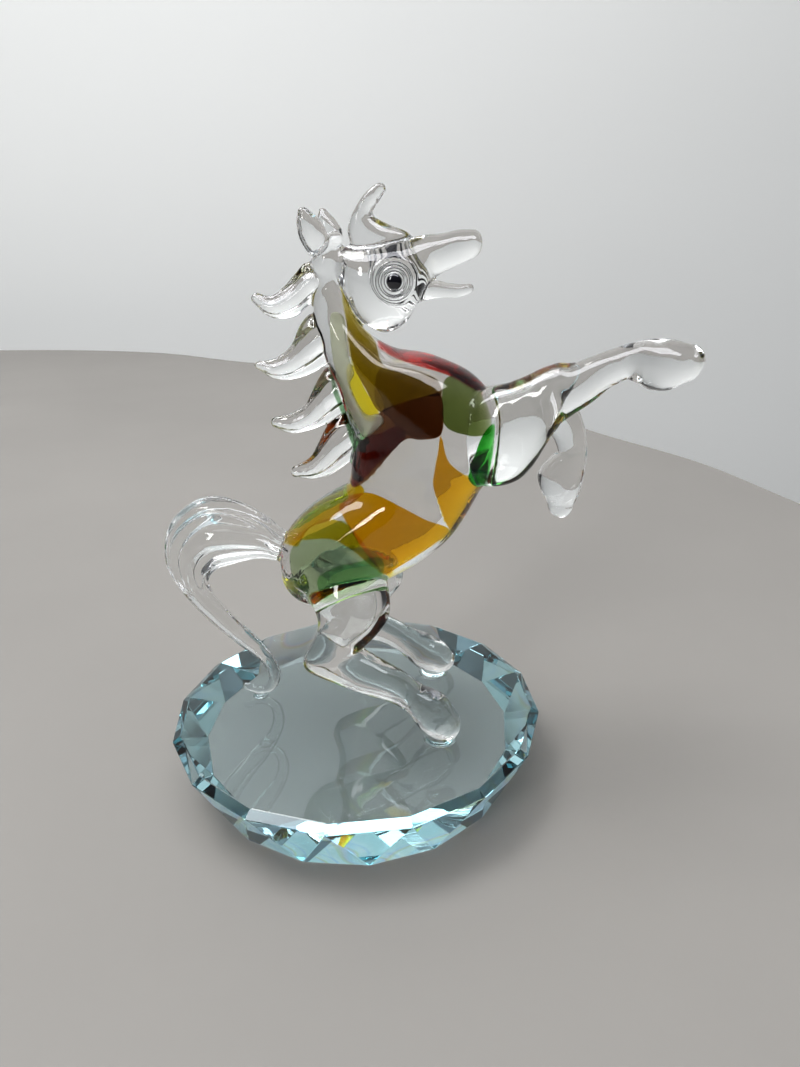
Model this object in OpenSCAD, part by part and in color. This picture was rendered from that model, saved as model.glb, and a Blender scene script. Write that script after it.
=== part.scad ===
// Crystal glass figurine: a rearing lampworked horse on a round faceted crystal base.
// Millimetres. The origin is the centre of the base's underside; the horse faces +X.
// Every piece is its own node; nothing moves, the glass is fused and bonded.

/* [View] */
// Which node to draw

/* [Crystal base] */
// Width of the base over two opposite girdle corners
base_d = 60; // [56:1:72]
// Height of the base
base_h = 11; // [8:0.5:14]
// Number of corners round the girdle
base_sides = 16; // [12:2:20]
// Width of the polished top face as a share of the girdle
table_share = 0.955; // [0.9:0.005:0.98]
// Drop from the top face to the girdle
bevel_drop = 0.9; // [0.5:0.1:1.5]
// Width of the underside as a share of the girdle
foot_share = 0.835; // [0.75:0.005:0.92]

/* [Horse] */
// Thickness of the limbs from side to side
leg_plump = 1; // [0.8:0.05:1.2]
// Thickness of the mane locks from side to side
mane_plump = 1; // [0.8:0.05:1.2]
// Thickness of the tail from side to side
tail_plump = 1; // [0.8:0.05:1.2]
// Size of the coloured cores inside the clear casing
core_share = 1; // [0.85:0.05:1.05]

/* [Eyes] */
// Width of the clear bead round each pupil
bead_d = 5.8; // [5:0.2:6.4]
// Width of each black pupil
pupil_d = 2; // [1.4:0.1:2.4]

/* [Hoof and tail bonds] */
// Width of the pad under each hind hoof
pad_d = 5; // [3.6:0.2:6]
// Height of the clear bonding pads
pad_h = 0.5; // [0.4:0.05:0.7]

/* [Facets] */
// Sides round the body casing
body_sides = 26; // [20:2:30]
// Sides round the limbs, the locks and the tail
limb_sides = 16; // [12:2:18]
// Steps between one station and the next
steps = 3; // [2:1:3]

/* [Hidden] */
base_r = base_d / 2;
clear = [0.86, 0.93, 0.95];
amber = [0.85, 0.6, 0.15];
ruby = [0.6, 0.05, 0.08];
green = [0.08, 0.4, 0.22];
black = [0.03, 0.03, 0.03];

// A station is [back x, back z, front x, front z, y, half width]: an ellipse that
// runs from the back point to the front point and reaches half width to each side.
// Heights are above the top face of the base.

// Body and neck, from the poll down the neck, through the chest, to the rump.
body_s = [
    [-1.5, 71.6, 1.4, 71.8, 0, 1.7],
    [-3.0, 69.6, 1.6, 69.8, 0, 2.3],
    [-2.6, 67.5, 1.4, 67.1, 0, 2.3],
    [-3.0, 64.8, 1.9, 64.4, 0, 2.7],
    [-2.8, 62.0, 2.8, 62.1, 0, 3.2],
    [-2.2, 59.3, 4.8, 59.8, 0, 4.0],
    [-1.4, 56.5, 8.3, 57.7, 0, 5.0],
    [-0.3, 53.0, 13.5, 56.7, 0, 6.0],
    [0.9, 49.0, 18.7, 54.0, 0, 7.0],
    [1.6, 45.0, 22.3, 50.0, 0, 7.6],
    [1.2, 42.0, 23.0, 45.4, 0, 8.0],
    [0.9, 39.5, 21.8, 40.2, 0, 8.0],
    [0.0, 37.8, 20.0, 36.8, 0, 7.9],
    [-2.2, 36.6, 18.2, 33.4, 0, 8.0],
    [-5.2, 34.8, 15.6, 29.8, 0, 8.2],
    [-7.7, 32.6, 11.8, 26.6, 0, 8.4],
    [-9.5, 30.2, 7.2, 24.0, 0, 8.4],
    [-10.6, 27.3, 2.6, 21.4, 0, 7.8],
    [-10.4, 24.2, -2.6, 19.6, 0, 6.0]];

// Coloured cores sealed inside the casing.
neck_core_s = [
    [-1.8, 66.4, 0.5, 66.3, 0, 1.2],
    [-1.8, 62.4, 1.4, 62.5, 0, 1.8],
    [-1.1, 58.4, 3.2, 58.9, 0, 2.5],
    [0.4, 54.4, 5.8, 55.7, 0, 3.2],
    [1.6, 51.0, 6.4, 52.4, 0, 3.4],
    [2.2, 48.4, 5.4, 49.6, 0, 2.4]];
ruby_core_s = [
    [20.2, 49.2, 19.6, 51.6, 0, 3.0],
    [16.6, 50.6, 15.8, 53.8, 0, 4.2],
    [12.4, 50.6, 11.8, 54.6, 0, 4.8],
    [10.0, 47.6, 8.9, 52.8, 0, 4.6],
    [8.9, 44.2, 5.8, 46.2, 0, 4.0],
    [6.0, 41.0, 3.4, 42.6, 0, 2.8]];
shoulder_core_s = [
    [14.4, 48.4, 20.4, 47.6, 0, 4.6],
    [13.6, 44.6, 21.2, 44.2, 0, 5.6],
    [14.2, 40.8, 20.2, 40.4, 0, 5.2],
    [15.6, 37.8, 19.2, 37.4, 0, 3.4]];
barrel_core_s = [
    [17.0, 33.6, 13.8, 36.6, 0, 4.0],
    [13.2, 29.6, 9.4, 35.4, 0, 5.6],
    [8.4, 26.8, 4.6, 33.8, 0, 6.2],
    [3.4, 24.8, 0.4, 32.8, 0, 6.2]];
haunch_core_s = [
    [-0.6, 24.0, -2.8, 33.6, 0, 6.0],
    [-4.2, 22.6, -6.4, 31.6, 0, 5.6],
    [-7.2, 22.6, -8.8, 28.6, 0, 4.0]];

// Head, jaw and the curls on it.
head_s = [
    [0.4, 66.2, 0.3, 71.0, 0, 2.2],
    [1.9, 64.4, 1.8, 71.5, 0, 3.0],
    [3.0, 62.4, 3.2, 71.6, 0, 3.9],
    [4.7, 60.8, 5.4, 71.8, 0, 4.6],
    [6.9, 60.1, 7.6, 72.0, 0, 4.8],
    [9.4, 61.3, 9.6, 72.1, 0, 4.4],
    [11.2, 63.8, 11.4, 72.4, 0, 3.6],
    [12.8, 66.5, 12.9, 72.6, 0, 2.9],
    [14.7, 67.7, 14.6, 72.7, 0, 2.6],
    [16.6, 68.5, 16.8, 73.1, 0, 2.5],
    [18.6, 69.3, 18.4, 73.1, 0, 2.1]];
jaw_s = [
    [10.6, 63.6, 10.8, 66.0, 0, 1.3],
    [12.8, 64.3, 13.2, 66.9, 0, 1.2],
    [14.8, 64.5, 14.9, 66.5, 0, 1.1],
    [16.8, 64.5, 16.8, 66.2, 0, 1.0],
    [18.1, 64.9, 18.0, 66.2, 0, 0.8]];
forelock_s = [
    [2.2, 70.9, 10.6, 71.6, 0, 2.0],
    [1.9, 72.4, 9.8, 72.9, 0, 1.9],
    [2.0, 73.6, 7.4, 74.0, 0, 1.7],
    [2.6, 75.0, 5.5, 75.1, 0, 1.4],
    [3.4, 76.3, 5.7, 76.1, 0, 1.2],
    [4.5, 77.7, 6.4, 77.0, 0, 1.0],
    [5.8, 78.7, 7.0, 77.8, 0, 0.7]];
ear_right_s = [
    [-2.8, 70.2, -0.2, 71.4, -1.4, 0.9],
    [-3.9, 72.4, -0.5, 73.3, -2.0, 1.2],
    [-4.2, 74.4, -1.4, 74.9, -2.3, 1.0],
    [-4.0, 75.7, -2.5, 75.9, -2.5, 0.6]];
ear_left_s = [
    [-1.6, 70.6, 1.2, 71.4, 1.4, 0.9],
    [-1.9, 72.6, 1.3, 73.2, 2.0, 1.2],
    [-2.1, 74.6, 0.4, 74.8, 2.3, 1.0],
    [-1.8, 75.7, -0.5, 75.8, 2.5, 0.6]];

// Mane locks, root first.
mane_s = [
    [[-1.4, 65.2, -1.6, 69.0, 0, 1.7], [-3.4, 64.4, -3.6, 69.2, 0, 1.7],
        [-5.4, 63.0, -5.4, 67.7, 0, 1.6], [-7.5, 62.5, -7.1, 66.2, 0, 1.4],
        [-9.4, 62.9, -8.6, 65.3, 0, 1.1], [-11.0, 64.4, -10.1, 65.6, 0, 0.7]],
    [[0.0, 57.2, -1.2, 62.0, 0, 1.9], [-1.8, 56.3, -3.3, 62.4, 0, 1.8],
        [-4.0, 55.0, -5.0, 60.8, 0, 1.7], [-6.8, 54.2, -6.5, 58.5, 0, 1.5],
        [-9.3, 54.3, -8.6, 57.0, 0, 1.1], [-11.1, 55.4, -10.7, 56.6, 0, 0.7]],
    [[2.2, 50.2, 0.8, 55.2, 0, 2.0], [0.0, 49.0, -1.6, 55.0, 0, 1.9],
        [-2.0, 47.9, -3.4, 52.8, 0, 1.7], [-4.6, 46.8, -5.0, 50.3, 0, 1.5],
        [-7.4, 46.3, -7.2, 49.0, 0, 1.1], [-9.5, 47.0, -9.2, 48.6, 0, 0.7]],
    [[4.0, 43.8, 2.6, 49.0, 0, 2.0], [1.7, 42.6, 0.0, 48.6, 0, 1.9],
        [-0.2, 41.2, -1.8, 47.0, 0, 1.8], [-2.4, 39.8, -3.4, 44.4, 0, 1.6],
        [-4.8, 39.2, -4.9, 42.4, 0, 1.2], [-7.0, 39.5, -7.0, 41.2, 0, 0.8]]];

// Forelegs: the right one is stretched forward, the left one hangs.
arm_right_s = [
    [17.0, 39.4, 17.4, 51.0, -3.4, 3.4],
    [21.0, 38.7, 20.4, 52.8, -4.4, 3.9],
    [24.4, 39.6, 23.2, 53.6, -5.0, 4.0],
    [26.6, 41.8, 25.6, 54.6, -5.4, 3.8],
    [28.4, 45.3, 27.6, 55.6, -5.7, 3.6],
    [30.2, 48.2, 29.8, 56.3, -6.0, 3.3]];
shin_right_s = [
    [30.2, 48.2, 29.8, 56.3, -6.0, 3.3],
    [32.2, 49.6, 31.8, 56.2, -6.2, 2.9],
    [34.2, 51.0, 33.8, 56.9, -6.4, 2.6],
    [36.4, 52.9, 36.4, 57.9, -6.6, 2.4],
    [38.6, 54.1, 38.9, 58.7, -6.8, 2.2]];
hoof_fore_right_s = [
    [38.6, 54.1, 38.9, 58.7, -6.8, 2.2],
    [40.2, 53.5, 40.6, 59.1, -6.9, 2.6],
    [42.0, 52.6, 42.4, 59.3, -7.0, 3.1],
    [44.2, 52.6, 44.6, 59.1, -7.0, 3.2],
    [46.2, 53.5, 46.6, 58.5, -7.0, 2.7]];
arm_left_s = [
    [17.0, 40.0, 17.2, 50.0, 3.6, 3.4],
    [20.6, 40.8, 20.8, 51.0, 4.6, 3.7],
    [24.6, 42.0, 24.8, 51.4, 5.4, 3.6],
    [28.2, 43.0, 29.0, 51.2, 5.8, 3.3],
    [30.6, 43.9, 32.6, 49.8, 6.0, 2.9]];
shin_left_s = [
    [30.6, 43.9, 32.6, 49.8, 6.0, 2.9],
    [31.4, 43.2, 35.2, 47.4, 6.0, 2.7],
    [32.2, 41.8, 36.5, 44.4, 6.0, 2.4],
    [32.8, 40.3, 37.0, 41.4, 6.0, 2.2]];
hoof_fore_left_s = [
    [32.8, 40.3, 37.0, 41.4, 6.0, 2.2],
    [31.4, 39.2, 37.2, 39.0, 6.0, 2.6],
    [29.8, 37.0, 37.0, 36.6, 6.0, 3.0],
    [30.2, 34.4, 36.4, 34.0, 6.0, 2.8],
    [31.4, 31.9, 35.4, 31.7, 6.0, 2.0]];

// Hind legs: haunch to hock, hock to fetlock, and the hoof.
thigh_right_s = [
    [-7.6, 25.4, 5.0, 29.0, -4.0, 3.4],
    [-6.2, 22.6, 5.6, 26.0, -5.4, 4.0],
    [-5.0, 20.2, 6.2, 22.6, -6.6, 4.1],
    [-4.8, 18.0, 5.9, 20.0, -7.4, 3.9],
    [-5.8, 15.8, 4.2, 17.6, -8.2, 3.5],
    [-7.2, 13.4, 2.0, 15.6, -8.8, 3.0]];
shank_right_s = [
    [-7.2, 13.4, 2.0, 15.6, -8.8, 3.0],
    [-6.4, 11.8, 2.4, 15.0, -9.1, 2.7],
    [-2.4, 9.9, 3.8, 14.2, -9.4, 2.5],
    [2.4, 8.0, 6.2, 12.6, -9.8, 2.4],
    [6.2, 6.6, 9.0, 10.7, -10.1, 2.3],
    [8.4, 5.2, 11.0, 9.2, -10.4, 2.3]];
hoof_hind_right_s = [
    [8.4, 5.2, 11.0, 9.2, -10.4, 2.3],
    [9.6, 3.0, 13.0, 8.2, -10.5, 2.7],
    [11.2, 1.2, 14.8, 6.4, -10.6, 3.0],
    [13.0, 0.4, 16.0, 4.2, -10.6, 2.6]];
thigh_left_s = [
    [-6.6, 24.0, 6.0, 29.0, 4.0, 3.4],
    [-5.2, 20.8, 7.6, 25.2, 5.4, 4.0],
    [-4.4, 18.0, 8.2, 21.2, 6.6, 4.0],
    [-4.4, 15.4, 7.9, 18.2, 7.4, 3.6],
    [-5.2, 12.6, 5.6, 15.0, 8.0, 3.1]];
shank_left_s = [
    [-5.2, 12.6, 5.6, 15.0, 8.0, 3.1],
    [-4.2, 9.8, 4.2, 13.2, 8.2, 2.7],
    [-0.6, 8.0, 4.8, 11.8, 8.3, 2.4],
    [3.2, 7.0, 7.0, 10.4, 8.4, 2.2],
    [6.6, 5.2, 9.6, 8.6, 8.5, 2.2]];
hoof_hind_left_s = [
    [6.6, 5.2, 9.6, 8.6, 8.5, 2.2],
    [8.4, 3.2, 12.6, 7.2, 8.6, 2.5],
    [10.6, 1.2, 15.2, 5.6, 8.6, 2.8],
    [13.0, 0.5, 16.4, 3.6, 8.6, 2.4]];

// Tail: a broad plume that narrows into a whip with a curled tip on the base.
plume_s = [
    [-7.6, 26.0, -7.2, 29.8, 0.6, 2.4],
    [-10.8, 26.1, -10.2, 30.6, 0.8, 2.7],
    [-13.2, 26.4, -12.4, 32.8, 1.0, 2.9],
    [-16.2, 26.0, -15.0, 34.6, 1.0, 3.0],
    [-18.8, 25.4, -18.4, 35.9, 1.0, 3.0],
    [-20.6, 24.9, -21.8, 35.8, 1.0, 2.9],
    [-21.8, 24.0, -25.2, 33.8, 1.0, 2.8],
    [-22.4, 23.2, -27.4, 31.0, 1.0, 2.7],
    [-22.6, 22.4, -28.2, 27.8, 1.0, 2.5],
    [-22.5, 21.6, -28.0, 24.4, 1.0, 2.3],
    [-22.2, 20.6, -26.8, 21.2, 1.0, 2.0]];
whip_s = [
    [-22.2, 20.6, -26.8, 21.2, 1.0, 2.0],
    [-21.3, 18.8, -24.8, 18.0, 1.1, 1.7],
    [-18.8, 15.3, -21.8, 14.0, 1.3, 1.5],
    [-15.9, 11.5, -18.6, 10.6, 1.6, 1.3],
    [-13.7, 8.2, -16.0, 7.6, 2.0, 1.1],
    [-12.8, 5.2, -14.8, 5.2, 2.3, 0.95],
    [-13.2, 2.4, -14.6, 3.4, 2.5, 0.8],
    [-14.8, 0.7, -15.4, 1.9, 2.6, 0.7],
    [-17.0, 0.5, -17.0, 1.7, 2.7, 0.65],
    [-18.9, 1.3, -18.2, 2.4, 2.7, 0.6]];

// ---- Lofts through stations ----

function blend(a, b, c, d, t) =
    b + 0.5 * t * ((c - a) + t * ((2 * a - 5 * b + 4 * c - d) + t * (3 * b - 3 * c + d - a)));

function dense(s, n) = concat(
    [for (i = [0:len(s) - 2]) for (k = [0:n - 1])
        blend(s[max(i - 1, 0)], s[i], s[i + 1], s[min(i + 2, len(s) - 1)], k / n)],
    [s[len(s) - 1]]);

function mid(s) = [(s[0] + s[2]) / 2, s[4], (s[1] + s[3]) / 2];
function unit(v) = v / norm(v);

// One ring of points; k shrinks it and off carries it along.
function ring(s, m, k = 1, off = [0, 0, 0]) =
    let (c = mid(s) + off, hx = k * (s[2] - s[0]) / 2, hz = k * (s[3] - s[1]) / 2)
    [for (j = [0:m - 1])
        [c[0] + hx * cos(360 * j / m), c[1] + k * s[5] * sin(360 * j / m),
            c[2] + hz * cos(360 * j / m)]];

// Rings that round off an end: q is the depth, dir points out of the end.
function dome(s, m, q, dir) = q == 0 ? [] :
    [for (a = [30, 58, 82]) ring(s, m, cos(a), dir * q * sin(a))];

function turned(v) = [for (i = [len(v) - 1:-1:0]) v[i]];

// Round loft through stations s with m sides; q0 and q1 round off its two ends.
module loft(s, m = limb_sides, n = steps, q0 = 0, q1 = 0) {
    d = dense(s, n);
    e = len(d) - 1;
    rings = concat(
        turned(dome(d[0], m, q0, unit(mid(d[0]) - mid(d[1])))),
        [for (x = d) ring(x, m)],
        dome(d[e], m, q1, unit(mid(d[e]) - mid(d[e - 1]))));
    w = len(rings);
    go = mid(d[1]) - mid(d[0]);
    flip = (d[0][2] - d[0][0]) * go[2] - (d[0][3] - d[0][1]) * go[0] > 0;
    sides = [for (i = [0:w - 2]) for (j = [0:m - 1])
        let (a = i * m + j, b = i * m + (j + 1) % m, c = a + m, g = b + m)
        each [[a, c, b], [b, c, g]]];
    caps = [[for (j = [0:m - 1]) j], [for (j = [m - 1:-1:0]) (w - 1) * m + j]];
    faces = concat(sides, caps);
    polyhedron(points = [for (r = rings) each r],
        faces = flip ? faces : [for (f = faces) turned(f)], convexity = 4);
}

function plump(s, k) = [for (x = s) [x[0], x[1], x[2], x[3], x[4], x[5] * k]];
function shrunk(s, k) = [for (x = s)
    let (c = mid(x), hx = k * (x[2] - x[0]) / 2, hz = k * (x[3] - x[1]) / 2)
    [c[0] - hx, c[2] - hz, c[0] + hx, c[2] + hz, x[4], x[5] * k]];

// Lifts the horse onto the base.
module on_base() { translate([0, 0, base_h]) children(); }

// First child less the others, kept as one piece of glass.
module trimmed() {
    resize([0, 0, 0]) difference() {
        children(0);
        children([1:$children - 1]);
    }
}

module body_shape() { loft(body_s, body_sides, steps, 1.6, 1.6); }
module head_shape() { loft(head_s, 24, steps, 0, 1.5); }
module leg(s, q1 = 0) { loft(plump(s, leg_plump), limb_sides, steps, 0, q1); }

// ---- Base and bonds ----

module base_disc() {
    m = base_sides;
    step = 360 / m;
    top = [for (j = [0:m - 1]) let (a = j * step - 28.5)
        [base_r * table_share * cos(a), base_r * table_share * sin(a), base_h]];
    girdle = [for (j = [0:m - 1]) let (a = j * step - 28.5)
        [base_r * cos(a), base_r * sin(a), base_h - bevel_drop]];
    foot = [for (j = [0:m - 1]) let (a = (j + 0.5) * step - 28.5)
        [base_r * foot_share * cos(a), base_r * foot_share * sin(a), 0]];
    bevel = [for (j = [0:m - 1]) let (k = (j + 1) % m) [j, k, m + k, m + j]];
    zigzag = [for (j = [0:m - 1]) let (k = (j + 1) % m)
        each [[m + j, m + k, 2 * m + j], [2 * m + j, m + k, 2 * m + k]]];
    caps = [[for (j = [m - 1:-1:0]) j], [for (j = [0:m - 1]) 2 * m + j]];
    color(clear) polyhedron(points = concat(top, girdle, foot),
        faces = concat(bevel, zigzag, caps), convexity = 2);
}

// A clear pad between the base and whatever stands on it.
module pad(x, y, d) {
    color(clear) on_base() trimmed() {
        translate([x, y, 0]) cylinder(h = pad_h, d1 = d, d2 = d * 0.9, $fn = 24);
        children();
    }
}
module pad_right() { pad(13.2, -10.6, pad_d) leg(hoof_hind_right_s, 1.8); }
module pad_left() { pad(13.2, 8.6, pad_d) leg(hoof_hind_left_s, 1.8); }
module pad_tail() { pad(-16.4, 2.7, 2.6) whip_shape(); }

// ---- Body and its coloured cores ----

module core_neck_shape() { loft(shrunk(neck_core_s, core_share), 14, 2, 0.8, 0.8); }
module core_ruby_shape() { loft(shrunk(ruby_core_s, core_share), 14, 2, 0.8, 0.8); }
module core_shoulder_shape() { loft(shrunk(shoulder_core_s, core_share), 14, 2, 0.8, 0.8); }
module core_barrel_shape() { loft(shrunk(barrel_core_s, core_share), 14, 2, 0.8, 0.6); }
module core_haunch_shape() { loft(shrunk(haunch_core_s, core_share), 14, 2, 0.6, 0.8); }

module body_casing() {
    color(clear) on_base() difference() {
        body_shape();
        core_neck_shape();
        core_ruby_shape();
        core_shoulder_shape();
        core_barrel_shape();
        core_haunch_shape();
    }
}
module core_neck() { color(amber) on_base() core_neck_shape(); }
module core_ruby() { color(ruby) on_base() core_ruby_shape(); }
module core_shoulder() { color(green) on_base() core_shoulder_shape(); }
module core_barrel() { color(amber) on_base() core_barrel_shape(); }
module core_haunch() { color(green) on_base() core_haunch_shape(); }

// ---- Head ----

module head() {
    color(clear) on_base() trimmed() {
        head_shape();
        body_shape();
    }
}
module lower_jaw() {
    color(clear) on_base() trimmed() {
        loft(jaw_s, 12, steps, 0, 0.8);
        head_shape();
    }
}
module forelock() {
    color(clear) on_base() trimmed() {
        loft(plump(forelock_s, mane_plump), limb_sides, steps, 0, 0.9);
        head_shape();
        body_shape();
    }
}
module ear(s) {
    color(clear) on_base() trimmed() {
        loft(s, 12, steps, 0, 0.6);
        head_shape();
        body_shape();
    }
}
module ear_right() { ear(ear_right_s); }
module ear_left() { ear(ear_left_s); }

// side is -1 for the right eye and 1 for the left.
module pupil_shape(side) {
    translate([8.1, side * 5.1, 67.2]) scale([1, 0.7, 1]) sphere(d = pupil_d, $fn = 16);
}
module eye_bead(side) {
    color(clear) on_base() trimmed() {
        translate([8.1, side * 4.3, 67.2]) scale([1, 0.5, 1]) sphere(d = bead_d, $fn = 24);
        head_shape();
        pupil_shape(side);
    }
}
module pupil(side) { color(black) on_base() trimmed() { pupil_shape(side); head_shape(); } }
module eye_bead_right() { eye_bead(-1); }
module eye_bead_left() { eye_bead(1); }
module pupil_right() { pupil(-1); }
module pupil_left() { pupil(1); }

// ---- Mane ----

module mane_lock(i) {
    color(clear) on_base() trimmed() {
        loft(plump(mane_s[i], mane_plump), limb_sides, steps, 0, 0.9);
        body_shape();
    }
}
module mane_lock_1() { mane_lock(0); }
module mane_lock_2() { mane_lock(1); }
module mane_lock_3() { mane_lock(2); }
module mane_lock_4() { mane_lock(3); }

// ---- Legs ----

module rooted(s) { color(clear) on_base() trimmed() { leg(s); body_shape(); } }

module foreleg_upper_right() { rooted(arm_right_s); }
module foreleg_lower_right() { color(clear) on_base() leg(shin_right_s); }
module hoof_fore_right() { color(clear) on_base() leg(hoof_fore_right_s, 2.2); }
module foreleg_upper_left() { rooted(arm_left_s); }
module foreleg_lower_left() { color(clear) on_base() leg(shin_left_s); }
module hoof_fore_left() { color(clear) on_base() leg(hoof_fore_left_s, 2.2); }
module hind_thigh_right() { rooted(thigh_right_s); }
module hind_shank_right() { color(clear) on_base() leg(shank_right_s); }
module hoof_hind_right() { color(clear) on_base() leg(hoof_hind_right_s, 1.8); }
module hind_thigh_left() { rooted(thigh_left_s); }
module hind_shank_left() { color(clear) on_base() leg(shank_left_s); }
module hoof_hind_left() { color(clear) on_base() leg(hoof_hind_left_s, 1.8); }

// ---- Tail ----

module whip_shape() { loft(plump(whip_s, tail_plump), limb_sides, steps, 0, 0.9); }
module tail_plume() {
    color(clear) on_base() trimmed() {
        loft(plump(plume_s, tail_plump), limb_sides, steps);
        body_shape();
    }
}
module tail_whip() { color(clear) on_base() whip_shape(); }

base_disc();
pad_right();
pad_left();
pad_tail();
body_casing();
core_neck();
core_ruby();
core_shoulder();
core_barrel();
core_haunch();
head();
lower_jaw();
forelock();
ear_right();
ear_left();
eye_bead_right();
eye_bead_left();
pupil_right();
pupil_left();
mane_lock_1();
mane_lock_2();
mane_lock_3();
mane_lock_4();
foreleg_upper_right();
foreleg_lower_right();
hoof_fore_right();
foreleg_upper_left();
foreleg_lower_left();
hoof_fore_left();
hind_thigh_right();
hind_shank_right();
hoof_hind_right();
hind_thigh_left();
hind_shank_left();
hoof_hind_left();
tail_plume();
tail_whip();
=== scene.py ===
"""Crystal glass figurine: lampworked glass pieces over the fixed CAD frame."""

import math

import bmesh
import bpy
import numpy as np
from mathutils import Matrix, Vector
from mathutils.bvhtree import BVHTree


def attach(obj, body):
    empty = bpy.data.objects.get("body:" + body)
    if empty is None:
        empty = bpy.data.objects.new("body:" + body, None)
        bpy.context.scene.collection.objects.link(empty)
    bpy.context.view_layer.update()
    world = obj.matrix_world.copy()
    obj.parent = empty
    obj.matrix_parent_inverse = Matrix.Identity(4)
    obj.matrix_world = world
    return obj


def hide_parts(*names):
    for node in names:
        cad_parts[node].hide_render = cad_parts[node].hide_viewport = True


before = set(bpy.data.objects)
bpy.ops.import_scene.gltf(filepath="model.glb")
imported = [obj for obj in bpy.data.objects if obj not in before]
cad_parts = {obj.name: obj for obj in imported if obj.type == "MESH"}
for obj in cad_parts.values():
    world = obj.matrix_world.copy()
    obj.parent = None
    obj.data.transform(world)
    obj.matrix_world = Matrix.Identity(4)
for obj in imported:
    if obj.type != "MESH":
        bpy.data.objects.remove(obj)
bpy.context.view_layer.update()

MM = 0.001  # lengths below are in millimetres and are scaled as each mesh is made
BASE_R, BASE_H = 30.0, 11.0  # the round base, as in the CAD
EYE_X, EYE_Z = 8.1, 67.2  # the eyes' middle, above the base's top
GLASS_INDEX = 1.5
SAME_INDEX = 1.001  # of sealed coloured glass, against the clear glass round it
CAMERA = Vector((7.94, -113.0, 76.3 + BASE_H))

# ---------------------------------------------------------------- stations
# [back x, back z, front x, front z, y, half width], millimetres above the base's top.

BODY = [
    [-1.5, 71.6, 1.4, 71.8, 0, 1.7], [-3.0, 69.6, 1.6, 69.8, 0, 2.3],
    [-2.6, 67.5, 1.4, 67.1, 0, 2.3], [-3.0, 64.8, 1.9, 64.4, 0, 2.7],
    [-2.8, 62.0, 2.8, 62.1, 0, 3.2], [-2.2, 59.3, 4.8, 59.8, 0, 4.0],
    [-1.4, 56.5, 8.3, 57.7, 0, 5.0], [-0.3, 53.0, 13.5, 56.7, 0, 6.0],
    [0.9, 49.0, 18.7, 54.0, 0, 7.0], [1.6, 45.0, 22.3, 50.0, 0, 7.6],
    [1.2, 42.0, 23.0, 45.4, 0, 8.0], [0.9, 39.5, 21.8, 40.2, 0, 8.0],
    [0.0, 37.8, 20.0, 36.8, 0, 7.9], [-2.2, 36.6, 18.2, 33.4, 0, 8.0],
    [-5.2, 34.8, 15.6, 29.8, 0, 8.2], [-7.7, 32.6, 11.8, 26.6, 0, 8.4],
    [-9.5, 30.2, 7.2, 24.0, 0, 8.4], [-10.6, 27.3, 2.6, 21.4, 0, 7.8],
    [-10.4, 24.2, -2.6, 19.6, 0, 6.0]]
HEAD = [
    [0.4, 66.2, 0.3, 71.0, 0, 2.2], [1.9, 64.4, 1.8, 71.5, 0, 3.0],
    [3.0, 62.4, 3.2, 71.6, 0, 3.9], [4.7, 60.8, 5.4, 71.8, 0, 4.6],
    [6.9, 60.1, 7.6, 72.0, 0, 4.8], [9.4, 61.3, 9.6, 72.1, 0, 4.4],
    [11.2, 63.8, 11.4, 72.4, 0, 3.6], [12.8, 66.5, 12.9, 72.6, 0, 2.9],
    [14.7, 67.7, 14.6, 72.7, 0, 2.6], [16.6, 68.5, 16.8, 73.1, 0, 2.5],
    [18.6, 69.3, 18.4, 73.1, 0, 2.1]]
JAW = [
    [10.6, 63.6, 10.8, 66.0, 0, 1.3], [12.8, 64.3, 13.2, 66.9, 0, 1.2],
    [14.8, 64.5, 14.9, 66.5, 0, 1.1], [16.8, 64.5, 16.8, 66.2, 0, 1.0],
    [18.1, 64.9, 18.0, 66.2, 0, 0.8]]
FORELOCK = [
    [2.2, 70.9, 10.6, 71.6, 0, 2.0], [1.9, 72.4, 9.8, 72.9, 0, 1.9],
    [2.0, 73.6, 7.4, 74.0, 0, 1.7], [2.6, 75.0, 5.5, 75.1, 0, 1.4],
    [3.4, 76.3, 5.7, 76.1, 0, 1.2], [4.5, 77.7, 6.4, 77.0, 0, 1.0],
    [5.8, 78.7, 7.0, 77.8, 0, 0.7]]
EAR_RIGHT = [
    [-2.8, 70.2, -0.2, 71.4, -1.4, 0.9], [-3.9, 72.4, -0.5, 73.3, -2.0, 1.2],
    [-4.2, 74.4, -1.4, 74.9, -2.3, 1.0], [-4.0, 75.7, -2.5, 75.9, -2.5, 0.6]]
EAR_LEFT = [
    [-1.6, 70.6, 1.2, 71.4, 1.4, 0.9], [-1.9, 72.6, 1.3, 73.2, 2.0, 1.2],
    [-2.1, 74.6, 0.4, 74.8, 2.3, 1.0], [-1.8, 75.7, -0.5, 75.8, 2.5, 0.6]]
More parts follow.
